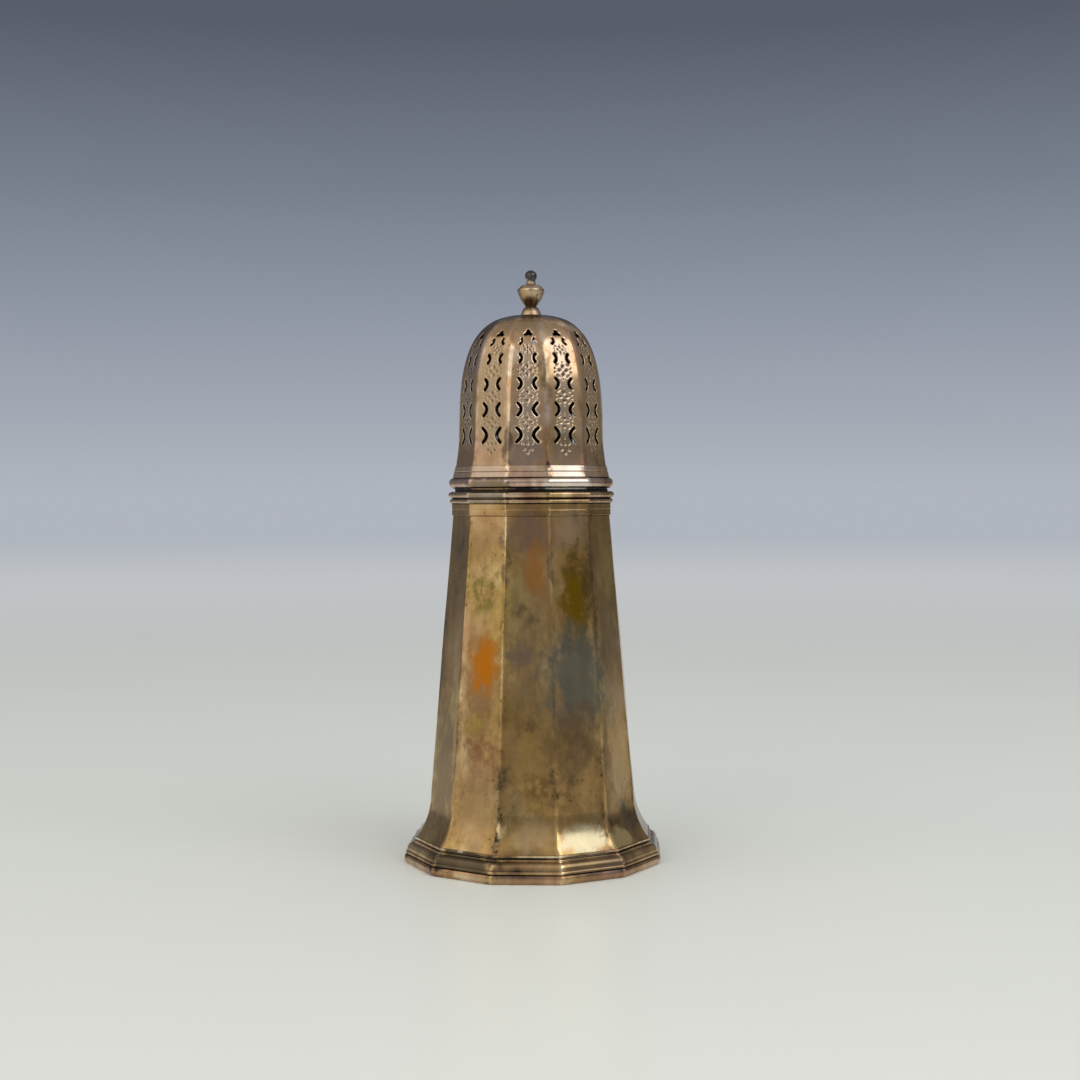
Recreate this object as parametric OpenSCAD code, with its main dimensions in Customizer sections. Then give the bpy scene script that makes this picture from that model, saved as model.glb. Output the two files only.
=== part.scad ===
// Panelled sugar caster: a tapering many-sided body on a spread foot, and a pull-off pierced
// dome with a turned finial. Millimetres, +Z up, origin on the table under the middle of the foot.
// Every width "across the panels" runs between two opposite flat panels.

/* [Panels] */
// Number of flat panels round the body and the cover
panels = 12; // [8:1:16]

/* [Foot] */
// Height of the foot wire
foot_wire_h = 2.4; // [1.5:0.1:4]
// Width of the flat face under the foot wire
foot_wire_t = 2.2; // [1.4:0.1:4]
// How far the foot wire stands out past the moulding above it
foot_step = 0.4; // [0.1:0.05:1]
// Height of the foot moulding
foot_moulding_h = 4.8; // [3:0.1:8]
// How far the foot wire spreads past the bottom edge of the body wall
foot_spread = 3.3; // [2.5:0.1:6]
// Height of the fillet at the top of the foot moulding, undercut over its lower half
foot_fillet_h = 0.7; // [0.3:0.1:1.5]
// How far that fillet stands out past the body wall
foot_fillet_t = 0.35; // [0.1:0.05:1]
// Width of the ledge in the foot moulding that carries the body wall
foot_ledge = 1.1; // [0.6:0.1:2]
// Thickness of the base plate
base_plate_t = 0.7; // [0.5:0.1:2]

/* [Body] */
// Thickness of the body's sheet
body_wall_t = 0.7; // [0.5:0.05:1.2]
// Height of the flare between the foot and the straight panels
flare_h = 9.8; // [7:0.1:16]
// How far the flare spreads past the straight panels
flare_spread = 3.85; // [3.4:0.05:6]
// Width of the body across the panels where the flare begins
body_w = 56.7; // [50:0.1:60]
// Height of the straight tapering panels
panel_h = 79.1; // [50:0.5:110]
// Width of the body across the panels under the mouth band
body_top_w = 43.5; // [40:0.1:48]
// How far the straight neck is set in from the top of the panels
neck_step = 0.5; // [0.1:0.05:1]

/* [Mouth] */
// Height of the plain band round the neck
mouth_band_h = 3.3; // [2:0.1:6]
// Thickness of that band
mouth_band_t = 0.85; // [0.6:0.05:1.6]
// Height of the lower bead of the rim
rim_low_bead_h = 1.4; // [0.8:0.1:3]
// How far the lower bead stands out past the neck
rim_low_bead_t = 1.5; // [1:0.05:2.5]
// Height of the upper bead of the rim
rim_top_bead_h = 1.9; // [0.8:0.1:3]
// How far the upper bead stands out past the neck
rim_top_bead_t = 1.85; // [1:0.05:3]
// Thickness of the rim wire behind its beads
rim_back_t = 0.7; // [0.3:0.05:1]
// Height of the bare lip of the neck that the cover sits on
lip_h = 0.5; // [0.2:0.1:2]

/* [Cover] */
// Gap on each side between the cover's sleeve and the neck
bezel_clear = 0.1; // [0.05:0.01:0.3]
// Thickness of the cover's sleeve
bezel_t = 0.6; // [0.4:0.05:1.2]
// Depth of the sleeve below the lip
bezel_drop = 9; // [5:0.5:20]
// Height of the plain seat under the cover's bead
cover_seat_h = 0.4; // [0.3:0.1:2]
// Height of the cover's bead
cover_bead_h = 2.9; // [1.5:0.1:5]
// How far the cover's bead stands out past the neck
cover_bead_t = 1.6; // [0.8:0.05:3]
// Height of the plain band above the bead
cover_band_h = 3.3; // [2:0.1:6]
// Thickness of that band at its foot
cover_band_t = 1.4; // [1.2:0.05:2.2]
// How far that band leans in from its foot to its top
cover_band_lean = 0.8; // [0.1:0.05:0.9]
// Depth of the cut line round each plain band
line_d = 0.15; // [0.05:0.05:0.3]
// Width of the cut line round each plain band
line_w = 0.35; // [0.2:0.05:0.8]

/* [Dome] */
// Thickness of the dome's sheet
dome_t = 0.7; // [0.4:0.05:1]
// Ledge of the band left bare round the dome
dome_ledge = 0.15; // [0.1:0.05:0.6]
// Height of the dome above the band
dome_h = 42.4; // [36:0.2:52]
// Height of the flared skirt at the bottom of the dome
skirt_h = 7.2; // [4:0.1:9]
// How far the skirt flares out
skirt_flare = 0.85; // [0.4:0.05:3]
// Roundness of the skirt: 1 is a plain cone
skirt_round = 1.3; // [1:0.1:3]
// Fullness of the shoulder: 2 is an ellipse, larger is squarer
dome_power = 3; // [2.2:0.1:4]
// Distance from the axis to the edge of the flat crown
crown_flat = 3.4; // [3.2:0.1:6]

/* [Piercing] */
// Rows of paired crescent slots on each panel
slot_rows = 4; // [2:1:5]
// Height of the lowest row's middle above the band
first_row_h = 8.2; // [6.5:0.1:12]
// Length of the slots in the lowest row
low_slot_l = 5; // [3:0.1:5.4]
// Length of the slots in the highest row
top_slot_l = 3.3; // [2:0.1:4.4]
// Width of the lowest row between the tips of its slots
low_row_w = 5.8; // [4.8:0.1:6.6]
// Width of the highest row between the tips of its slots
top_row_w = 3.9; // [3.8:0.1:5]
// Width of a slot of the lowest row at its lobes
low_slot_w = 1.3; // [0.5:0.05:1.5]
// Width of a slot of the highest row at its lobes
top_slot_w = 1.05; // [0.4:0.05:1.2]
// Width of the metal left between the bulges of a row
slot_waist_w = 2.4; // [1.6:0.1:3.2]
// Depth of the bud slots' middle below the crown
bud_drop = 8.5; // [7.5:0.1:11]
// Length of the bud slots
bud_slot_l = 2.6; // [1.6:0.1:3]
// Width of a bud slot at its lobes
bud_slot_w = 0.85; // [0.4:0.05:1]
// Width between the middles of the bud slots
bud_w = 3.4; // [2.8:0.1:4]
// How far the bud slots lean outward towards the foot
bud_lean = 16; // [0:1:30]
// Depth of the trefoil's middle below the crown
trefoil_drop = 6.2; // [5:0.1:7]
// Mean radius of the trefoil hole
trefoil_r = 1.05; // [0.5:0.05:1.15]

/* [Finial] */
// Radius of the finial's foot
finial_foot_r = 3; // [2.4:0.05:3.2]
// Height of the finial's foot, up to its waist
finial_foot_h = 2.5; // [2:0.1:5]
// Roundness of the finial's foot: 1 is a plain cone, less is fuller
finial_foot_round = 0.55; // [0.4:0.05:1]
// Radius of the waist under the urn
finial_waist_r = 1.5; // [1.3:0.05:2]
// Radius of the urn
urn_r = 3.8; // [3:0.1:5]
// Height of the urn's bowl
urn_bowl_h = 4.5; // [2:0.1:6]
// Roundness of the urn's bowl: 1 is a plain cone
urn_round = 1.5; // [1:0.05:2]
// Height of the urn's lip
urn_lip_h = 0.3; // [0.2:0.1:1.5]
// Height of the urn's sloping shoulder
urn_shoulder_h = 1.65; // [0.8:0.05:3]
// Radius of the neck under the ball
finial_neck_r = 1.3; // [0.8:0.05:1.6]
// Height of that neck, up to the ball
finial_neck_h = 1.1; // [0.5:0.1:3]
// Radius of the ball
ball_r = 1.7; // [1.62:0.02:3]
// Radius of the tenon through the crown
tenon_r = 1.2; // [0.8:0.05:1.5]
// Gap round the tenon
tenon_clear = 0.05; // [0.02:0.01:0.1]
// Radius of the backing washer
washer_r = 2.7; // [2.2:0.1:3]
// Thickness of the backing washer
washer_t = 0.6; // [0.4:0.1:1]
// Radius of the riveted end of the tenon
rivet_r = 1.8; // [1.7:0.05:2.1]
// Height of the riveted end of the tenon
rivet_h = 0.5; // [0.3:0.1:1]

/* [Hidden] */
$fn = 64;

// Steps of a moulding's curve, the flare, the dome's shoulder and each edge of a slot
bead_steps = 8;
flare_steps = 6;
dome_steps = 18;
slot_steps = 3;
// A cut runs this far past what it cuts
over = 1;
// Width of a slot at its pinched middle, and how it swells towards its two lobes, as shares of its width
slot_pinch = 0.75;
slot_swell = 2.25;
// Half length of the cut behind each slot
slot_cut = 1.4;
// Half the height over which the dome's slope is read
tilt_step = 0.2;
// Depth of a trefoil's lobes as a share of its mean radius, and the steps round it
trefoil_lobe = 0.3;
trefoil_steps = 24;
// Space from the highest row to the bud slots as a share of the rows' pitch
bud_gap = 0.68;
// How far a bud slot bows, as a share of its width
bud_bow = 0.6;

// Levels of the body, from the table up
moulding_z = foot_wire_h;
wall_z = moulding_z + foot_moulding_h;
flare_z = wall_z + flare_h;
neck_z = flare_z + panel_h;
rim_z = neck_z + mouth_band_h;
rim_top_z = rim_z + rim_low_bead_h + rim_top_bead_h;
lip_z = rim_top_z + lip_h;

// Levels of the cover
bead_z = lip_z + cover_seat_h;
band_z = bead_z + cover_bead_h;
dome_z = band_z + cover_band_h;
spring_z = dome_z + skirt_h;
crown_z = dome_z + dome_h;

// Distances from the axis to the panels
body_a = body_w / 2;
flare_a = body_a + flare_spread;
foot_a = flare_a + foot_spread;
base_a = flare_a - foot_ledge;
body_top_a = body_top_w / 2;
neck_a = body_top_a - neck_step;
neck_in_a = neck_a - body_wall_t;
bezel_a = neck_in_a - bezel_clear;
cover_band_a = bezel_a + cover_band_t;
cover_band_top_a = cover_band_a - cover_band_lean;
dome_base_a = cover_band_top_a - dome_ledge;
dome_a = dome_base_a - skirt_flare;

// Half size of a block that holds every section
reach = 2 * foot_a;

// The flare is the arc that leaves the straight panel smoothly and ends at the foot
taper = atan((body_a - body_top_a) / panel_h);
flare_out = [cos(taper), sin(taper)];
flare_chord = [flare_a - body_a, -flare_h];
flare_r = flare_chord * flare_chord / (2 * flare_chord * flare_out);
flare_sweep = 2 * asin(norm(flare_chord) / (2 * flare_r));

// Pitch that fits the rows between the lowest one and the bud slots
pitch = (dome_h - first_row_h - bud_drop) / (slot_rows - 1 + bud_gap);

// Value for a row of slots, between those of the lowest and the highest row
function by_row(row, low, top) = low + (top - low) * row / (slot_rows - 1);

// Half-round bead from level z0 to level z1, standing out from a
function bead(a, z0, z1, out) = [
  for (i = [0:bead_steps])
    let (turn = -90 + 180 * i / bead_steps)
      [a + out * cos(turn), (z0 + z1) / 2 + (z1 - z0) / 2 * sin(turn)]
];

// Plain band with one cut line round its middle, from low_a at its foot to top_a at its top
function lined_band(low_a, top_a, z0, z1) =
  let (
    mid_z = (z0 + z1) / 2,
    mid_a = (low_a + top_a) / 2,
    lean = (low_a - top_a) / (z1 - z0) * line_w / 2
  )
    [
      [low_a, z0],
      [mid_a + lean, mid_z - line_w / 2],
      [mid_a - line_d, mid_z],
      [mid_a - lean, mid_z + line_w / 2],
      [top_a, z1]
    ];

// Point of the flare where its face has turned by turn, pushed off by r from the flare's centre
function flare_point(turn, r) = [body_a, flare_z] + flare_r * flare_out - r * [cos(turn), sin(turn)];

// Flats along the flare from the foot up, on a face depth inside the outer one: the top flat
// runs straight on into the panel
function flare(depth) =
  let (step = flare_sweep / flare_steps)
    concat(
      [flare_point(taper + flare_sweep, flare_r + depth)],
      [for (i = [flare_steps - 1:-1:0])
        flare_point(taper + step * (i + 0.5), (flare_r + depth) / cos(step / 2))]
    );

// Rise of the dome's curve above its spring line, when its crown is at level top
function rise(a, top) = (top - spring_z) / pow(1 - pow(crown_flat / a, dome_power), 1 / dome_power);

// Distance from the axis to the dome's panel at level z above the spring line
function shoulder_a(z) =
  dome_a * pow(1 - pow((z - spring_z) / rise(dome_a, crown_z), dome_power), 1 / dome_power);

// Distance from the axis to the dome's panel at any level
function panel_a(z) =
  z > spring_z ? shoulder_a(z) : dome_a + skirt_flare * pow((spring_z - z) / skirt_h, skirt_round);

// Angle of the dome's outward face above the level at z
function panel_tilt(z) = atan((panel_a(z - tilt_step) - panel_a(z + tilt_step)) / (2 * tilt_step));

// Section of the dome from the band to the crown, on a face depth inside the outer one
function dome_section(depth) =
  let (
    a = dome_a - depth,
    height = rise(a, crown_z - depth),
    last = acos(pow(crown_flat / a, dome_power / 2))
  )
    concat(
      [for (i = [bead_steps:-1:1])
        [a + skirt_flare * pow(i / bead_steps, skirt_round), spring_z - skirt_h * i / bead_steps]],
      [for (i = [0:dome_steps])
        let (turn = last * i / dome_steps)
          [a * pow(cos(turn), 2 / dome_power), spring_z + height * pow(sin(turn), 2 / dome_power)]]
    );

// Outline of a crescent slot with its tips on the line x = 0: it bows towards -x and is pinched
// at its middle
function crescent(length, bow, width) = concat(
  [for (i = [-slot_steps:slot_steps])
    let (s = i / slot_steps)
      [-bow * (1 - s * s), s * length / 2]],
  [for (i = [slot_steps - 1:-1:1 - slot_steps])
    let (s = i / slot_steps)
      [(width * (slot_pinch + slot_swell * s * s) - bow) * (1 - s * s), s * length / 2]]
);

// Solid with a regular many-sided section: at each level its panels lie at the profile's
// distance from the axis, and one panel faces -Y. The panels are set out from level z.
module panelled(profile, z = 0) {
  last = len(profile) - 1;
  outline = concat([[-reach, profile[0].y]], profile, [[-reach, profile[last].y]]);
  translate([0, 0, z])
    intersection_for (k = [0:panels - 1])
      rotate([90, 0, 360 / panels * k - 90])
        linear_extrude(2 * reach, center = true)
          polygon([for (p = outline) [p.x, p.y - z]]);
}

// Straight-sided hole for the middle of a panelled ring
module straight_hole(a, z0, z1) {
  panelled([[a, z0 - over], [a, z1 + over]]);
}

// Puts a flat shape on panel k of the dome at level z and runs it through the sheet
module through_panel(k, z) {
  rotate(360 / panels * k - 90)
    translate([panel_a(z), 0, z])
      rotate([0, -panel_tilt(z), 0])
        rotate([90, 0, 90])
          linear_extrude(2 * slot_cut, center = true)
            children();
}

// A shape and its mirror image on the other side of a panel's middle line
module both_sides() {
  for (side = [0, 1])
    mirror([side, 0])
      children();
}

module slot_pair(row) {
  tip_x = by_row(row, low_row_w, top_row_w) / 2;
  both_sides()
    translate([tip_x, 0])
      polygon(crescent(
        by_row(row, low_slot_l, top_slot_l),
        tip_x - slot_waist_w / 2,
        by_row(row, low_slot_w, top_slot_w)
      ));
}

module bud_slots() {
  both_sides()
    translate([bud_w / 2, 0])
      rotate(bud_lean)
        polygon(crescent(bud_slot_l, bud_bow * bud_slot_w, bud_slot_w));
}

module trefoil() {
  polygon([
    for (i = [0:trefoil_steps - 1])
      let (turn = 360 * i / trefoil_steps, r = trefoil_r * (1 + trefoil_lobe * cos(3 * (turn - 90))))
        r * [cos(turn), sin(turn)]
  ]);
}

module foot_wire() {
  color("#a58566")
    difference() {
      panelled([[foot_a, 0], [foot_a, foot_wire_h]]);
      straight_hole(foot_a - foot_wire_t, 0, foot_wire_h);
    }
}

module foot_moulding() {
  top_a = flare_a + foot_fillet_t;
  side_a = foot_a - foot_step;
  fillet_z = wall_z - foot_fillet_h;
  seat_z = wall_z - base_plate_t;
  color("#8a7555")
    difference() {
      panelled(concat(
        [for (i = [0:bead_steps])
          let (turn = 90 * i / bead_steps)
            [flare_a + (side_a - flare_a) * cos(turn), moulding_z + (fillet_z - moulding_z) * sin(turn)]],
        [[top_a, wall_z - foot_fillet_h / 2], [top_a, wall_z]]
      ));
      panelled([
        [foot_a - foot_wire_t, moulding_z - over],
        [foot_a - foot_wire_t, moulding_z],
        [base_a, seat_z],
        [base_a, wall_z + over]
      ]);
    }
}

module base_plate() {
  color("#9a8a6a")
    panelled([[base_a, wall_z - base_plate_t], [base_a, wall_z]]);
}

module body_wall() {
  step_z = neck_z - body_wall_t;
  slope_t = body_wall_t / cos(taper);
  color("#9c8460")
    difference() {
      panelled(concat(flare(0), [[body_top_a, neck_z], [neck_a, neck_z], [neck_a, lip_z]]), flare_z);
      panelled(concat(
        flare(body_wall_t),
        [[body_top_a - slope_t + body_wall_t * tan(taper), step_z], [neck_in_a, step_z]],
        [[neck_in_a, lip_z + over]]
      ), flare_z);
    }
}

module mouth_band() {
  color("#8f7a5c")
    difference() {
      panelled(lined_band(neck_a + mouth_band_t, neck_a + mouth_band_t, neck_z, rim_z));
      straight_hole(neck_a, neck_z, rim_z);
    }
}

module rim_moulding() {
  bead_split_z = rim_z + rim_low_bead_h;
  back_a = neck_a + rim_back_t;
  color("#85704f")
    difference() {
      panelled(concat(
        bead(back_a, rim_z, bead_split_z, rim_low_bead_t - rim_back_t),
        bead(back_a, bead_split_z, rim_top_z, rim_top_bead_t - rim_back_t)
      ));
      straight_hole(neck_a, rim_z, rim_top_z);
    }
}

module cover_bezel() {
  color("#a8987a")
    difference() {
      panelled([[bezel_a, lip_z - bezel_drop], [bezel_a, dome_z]]);
      straight_hole(bezel_a - bezel_t, lip_z - bezel_drop, dome_z);
    }
}

module cover_moulding() {
  color("#8c7658")
    difference() {
      panelled(concat(
        [[neck_a, lip_z]],
        bead(neck_a, bead_z, band_z, cover_bead_t)
      ));
      straight_hole(bezel_a, lip_z, band_z);
    }
}

module cover_band() {
  color("#a8926c")
    difference() {
      panelled(lined_band(cover_band_a, cover_band_top_a, band_z, dome_z));
      straight_hole(bezel_a, band_z, dome_z);
    }
}

module cover_dome() {
  color("#93805f")
    difference() {
      panelled(dome_section(0));
      panelled(concat([[dome_base_a - dome_t, dome_z - over]], dome_section(dome_t)));
      cylinder(r = tenon_r + tenon_clear, h = crown_z + over);
      for (k = [0:panels - 1]) {
        for (row = [0:slot_rows - 1])
          through_panel(k, dome_z + first_row_h + pitch * row)
            slot_pair(row);
        through_panel(k, crown_z - bud_drop)
          bud_slots();
        through_panel(k, crown_z - trefoil_drop)
          trefoil();
      }
    }
}

module finial() {
  bowl_z = crown_z + finial_foot_h;
  lip_base_z = bowl_z + urn_bowl_h;
  shoulder_z = lip_base_z + urn_lip_h;
  neck_base_z = shoulder_z + urn_shoulder_h;
  ball_z = neck_base_z + finial_neck_h + sqrt(ball_r * ball_r - finial_neck_r * finial_neck_r);
  ball_start = -acos(finial_neck_r / ball_r);
  washer_z = crown_z - dome_t - washer_t;
  color("#8a6a4c")
    rotate_extrude()
      polygon(concat(
        [[0, washer_z - rivet_h], [rivet_r, washer_z - rivet_h], [rivet_r, washer_z]],
        [[tenon_r, washer_z], [tenon_r, crown_z]],
        [for (i = [0:bead_steps])
          let (s = i / bead_steps)
            [finial_waist_r + (finial_foot_r - finial_waist_r) * pow(1 - s, finial_foot_round),
              crown_z + finial_foot_h * s]],
        [for (i = [1:bead_steps])
          let (s = i / bead_steps)
            [urn_r - (urn_r - finial_waist_r) * pow(1 - s, urn_round), bowl_z + urn_bowl_h * s]],
        [[urn_r, shoulder_z], [finial_neck_r, neck_base_z]],
        [for (i = [0:bead_steps])
          let (turn = ball_start + (90 - ball_start) * i / bead_steps)
            [max(0, ball_r * cos(turn)), ball_z + ball_r * sin(turn)]]
      ));
}

module finial_washer() {
  color("#a8987a")
    translate([0, 0, crown_z - dome_t - washer_t])
      difference() {
        cylinder(r = washer_r, h = washer_t);
        translate([0, 0, -over])
          cylinder(r = tenon_r + tenon_clear, h = washer_t + 2 * over);
      }
}

foot_wire();
foot_moulding();
base_plate();
body_wall();
mouth_band();
rim_moulding();
cover_bezel();
cover_moulding();
cover_band();
cover_dome();
finial();
finial_washer();
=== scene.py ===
import math
from collections import namedtuple

import bpy
import numpy as np
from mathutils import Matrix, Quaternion, Vector, noise
from mathutils.geometry import delaunay_2d_cdt


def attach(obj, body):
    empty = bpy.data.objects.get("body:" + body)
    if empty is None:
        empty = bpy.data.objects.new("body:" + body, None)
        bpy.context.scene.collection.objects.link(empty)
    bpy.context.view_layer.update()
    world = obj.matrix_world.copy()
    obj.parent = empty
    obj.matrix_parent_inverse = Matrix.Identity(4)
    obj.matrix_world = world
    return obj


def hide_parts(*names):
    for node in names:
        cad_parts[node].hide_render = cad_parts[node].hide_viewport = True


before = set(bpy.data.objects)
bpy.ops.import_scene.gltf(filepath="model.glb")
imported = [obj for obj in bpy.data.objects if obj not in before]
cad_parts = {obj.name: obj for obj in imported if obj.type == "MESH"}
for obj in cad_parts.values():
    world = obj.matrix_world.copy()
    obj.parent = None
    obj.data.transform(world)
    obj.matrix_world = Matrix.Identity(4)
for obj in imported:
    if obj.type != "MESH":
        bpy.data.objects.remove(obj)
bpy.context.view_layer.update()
noise.seed_set(7)  # or else the clock sets it, and noise vectors differ from run to run

# Sizes of the part, in millimetres, as in its source
MM = 0.001
PANELS = 12
HALF = math.pi / PANELS
TAN = math.tan(HALF)
MOULDING_Z, WALL_Z, FLARE_Z, NECK_Z, RIM_Z, RIM_TOP_Z, LIP_Z = 2.4, 7.2, 17.0, 96.1, 99.4, 102.7, 103.2
BEAD_Z, BAND_Z, DOME_Z, SPRING_Z, CROWN_Z = 103.6, 106.5, 109.8, 117.0, 152.2
FOOT_A, FLARE_A, BASE_A, BODY_A, BODY_TOP_A, NECK_A = 35.5, 32.2, 31.1, 28.35, 21.75, 21.25
NECK_IN_A, BEZEL_A, BAND_A, BAND_TOP_A, DOME_A = 20.55, 20.45, 21.85, 21.05, 20.05
FOOT_WIRE_T, WALL_T, BASE_T, BEZEL_T, BEZEL_DROP, DOME_T = 2.2, 0.7, 0.7, 0.6, 9.0, 0.7
MOUTH_BAND_T, RIM_LOW_T, RIM_TOP_T, RIM_BACK_T, COVER_BEAD_T = 0.85, 1.5, 1.85, 0.7, 1.6
SKIRT_FLARE, SKIRT_ROUND, DOME_POWER, CROWN_FLAT, TENON_HOLE_R = 0.85, 1.3, 3.0, 3.4, 1.25

# Piercing of a dome panel
SLOT_ROWS, FIRST_ROW_H, PITCH = 4, 8.2, 6.984
SLOT_L, ROW_W, SLOT_W, SLOT_WAIST = (5.0, 3.3), (5.8, 3.9), (1.3, 1.05), 2.4
SLOT_PINCH, SLOT_SWELL = 0.75, 2.25
BUD_DROP, BUD_L, BUD_SLOT_W, BUD_W, BUD_LEAN = 8.5, 2.6, 0.85, 3.4, math.radians(16)
TREFOIL_DROP, TREFOIL_R, TREFOIL_LOBE = 6.2, 1.05, 0.3


def step(low, high, x):
    """Smooth step from 0 at low to 1 at high, for numbers and arrays."""
    t = np.clip((x - low) / (high - low), 0, 1)
    return t * t * (3 - 2 * t)


# Node trees of the materials and of the stage
class Nodes:
    """A node tree, with short ways to add to it. Values are numbers, tuples or sockets."""

    def __init__(self, tree):
        self.tree = tree

    def find(self, kind):
        """The node of this kind that the tree came with."""
        return next(n for n in self.tree.nodes if n.type == kind)

    def feed(self, socket, value):
        if isinstance(value, bpy.types.NodeSocket):
            self.tree.links.new(value, socket)
        else:
            socket.default_value = value

    def fill(self, n, inputs):
        for key, value in inputs.items():
            self.feed(n.inputs[key], value)
        return n

    def node(self, kind, inputs=None, **props):
        n = self.tree.nodes.new(kind)
        for key, value in props.items():
            setattr(n, key, value)
        return self.fill(n, inputs or {})

    def math(self, op, a, b, clamp=False):
        return self.node("ShaderNodeMath", {0: a, 1: b}, operation=op, use_clamp=clamp).outputs[0]

    def times(self, a, b):
        return self.math("MULTIPLY", a, b)

    def total(self, *terms):
        value = terms[0]
        for term in terms[1:]:
            value = self.math("ADD", value, term)
        return value

    def vec(self, op, a, b=(0, 0, 0), scale=1.0):
        n = self.node("ShaderNodeVectorMath", {0: a, 1: b, 3: scale}, operation=op)
        return n.outputs["Value" if op == "LENGTH" else "Vector"]

    def span(self, value, low, high, to_low=0.0, to_high=1.0, smooth=False):
        """The value taken from between low and high to between to_low and to_high."""
        n = self.node(
            "ShaderNodeMapRange",
            {"Value": value, "From Min": low, "From Max": high, "To Min": to_low, "To Max": to_high},
            clamp=True,
            interpolation_type="SMOOTHSTEP" if smooth else "LINEAR",
        )
        return n.outputs[0]

    def ramp(self, value, stops):
        n = self.node("ShaderNodeValToRGB", {"Fac": value})
        points = n.color_ramp.elements
        while len(points) < len(stops):
            points.new(0.5)
        for point, (at, colour) in zip(points, stops):
            point.position = at
            point.color = (*colour, 1)
        return n.outputs["Color"]

    def mix(self, share, a, b, blend="MIX"):
        n = self.node("ShaderNodeMix", data_type="RGBA", blend_type=blend)
        for index, value in ((0, share), (6, a), (7, b)):
            if isinstance(value, tuple):
                value = (*value, 1)
            self.feed(n.inputs[index], value)
        return n.outputs[2]


class Shader(Nodes):
    """A material with one metal shader, whose patterns are laid out in millimetres."""

    def __init__(self, name):
        self.mat = bpy.data.materials.new(name)
        self.mat.use_nodes = True
        super().__init__(self.mat.node_tree)
        self.mm = self.vec("SCALE", self.node("ShaderNodeTexCoord").outputs["Object"], scale=1 / MM)

    def attribute(self, name):
        return self.node("ShaderNodeAttribute", attribute_name=name).outputs["Fac"]

    def pattern(self, where, detail, rough=0.5):
        return self.node(
            "ShaderNodeTexNoise", {"Vector": where, "Scale": 1.0, "Detail": detail, "Roughness": rough}
        )

    def noise(self, size, upright=1, shift=(0, 0, 0), detail=2.0, rough=0.5, place=None):
        """Noise between 0 and 1 with features about size across, drawn out upward where upright is small."""
        where = self.vec("ADD", place or self.mm, shift)
        where = self.vec("MULTIPLY", where, (1 / size, 1 / size, upright / size))
        return self.pattern(where, detail, rough).outputs["Fac"]

    def strayed(self, far):
        """The place, shifted about by up to half of far each way."""
        drift = self.pattern(self.vec("SCALE", self.mm, scale=1 / STRAY_L), 4.0).outputs["Color"]
        drift = self.vec("SUBTRACT", drift, (0.5, 0.5, 0.5))
        return self.vec("ADD", self.mm, self.vec("SCALE", drift, scale=far))

    def oval(self, place, stain_or_reflection, ragged):
        """Share from 0 to 1 of an oval patch of colour whose edge is soft and ragged."""
        away = self.vec("SUBTRACT", place, stain_or_reflection.centre)
        away = self.vec("MULTIPLY", away, tuple(1 / s for s in stain_or_reflection.size))
        away = self.total(self.vec("LENGTH", away), ragged)
        return self.span(away, 1.0, stain_or_reflection.edge, smooth=True)


# Materials
TARNISH = (
    (0.0, (0.87, 0.77, 0.6)),
    (0.25, (0.66, 0.485, 0.275)),
    (0.5, (0.465, 0.295, 0.14)),
    (0.72, (0.3, 0.185, 0.088)),
    (0.9, (0.145, 0.098, 0.06)),
    (1.0, (0.04, 0.033, 0.028)),
)

# Hues that lie over the tarnish in patches: colour, size, drawing out, shift, where it begins, most of it
HUES = (
    ((0.98, 0.86, 1.12), 13, 0.5, (60, 2, 33), 0.48, 0.6),
    ((0.94, 1.0, 0.6), 11, 0.6, (1, 70, 8), 0.5, 0.6),
    ((0.8, 1.0, 1.5), 12, 0.5, (44, 9, 71), 0.54, 0.5),
)
CHASED = (0.52, 0.47, 0.41)

# Share of the unevenness that clouds, patches, streaks and broken spots take up
CLOUD, PATCH, STREAK, BROKEN = 0.5, 0.35, 0.14, 0.45
# Tarnish added by grime at arrises and in cuts, where the dark rows of rings add painted shade at grooves and
# seams, and roughness added by tarnish and specks
ARRIS_GRIME, CUT_GRIME_AND_SHADE, TARNISH_ROUGH, SPECK_ROUGH, LEAST_ROUGH = 0.25, 0.7, 0.1, 0.2, 0.07
# Depth of dents and pits, the size of the waves that shift stains about, and how far these go
DENT_D, PIT_D, STRAY_L, STRAY = 0.03, 0.002, 5, 5.5


def uneven(s, place, broken):
    """Where the tarnish is thicker or thinner than its level."""
    cloud = s.span(s.noise(24, 0.55, (11, 3, 7), 3.0), 0.32, 0.68, -1, 1)
    patch = s.span(s.noise(7.5, 0.7, (5, 40, 2), 4.0, 0.6, place), 0.3, 0.7, -1, 1)
    streak = s.span(s.noise(2.6, 0.09, (9, 1, 4), 3.0), 0.3, 0.7, -1, 1)
    zone = s.span(s.noise(17, 0.6, (8, 23, 41), 2.0), 0.47, 0.62)
    spots = s.times(broken, zone)
    return s.total(
        s.times(cloud, CLOUD), s.times(patch, PATCH), s.times(streak, STREAK), s.times(spots, BROKEN)
    )


def dark_specks(s):
    """Dots strewn over some zones, and crust along some stretches of the arrises."""
    dots = s.span(s.noise(0.8, 1, (2, 8, 1), 1.5), 0.64, 0.72)
    zone = s.span(s.noise(13, 0.8, (31, 5, 12), 2.0), 0.45, 0.65)
    crust = s.span(s.noise(1.4, 0.6, (7, 19, 3), 4.0, 0.65), 0.5, 0.62)
    stretch = s.span(s.noise(9, 0.8, (14, 6, 28), 2.0), 0.44, 0.6)
    along = s.times(s.attribute("near"), stretch)
    return s.math("MAXIMUM", s.times(dots, zone), s.times(crust, along))


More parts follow.
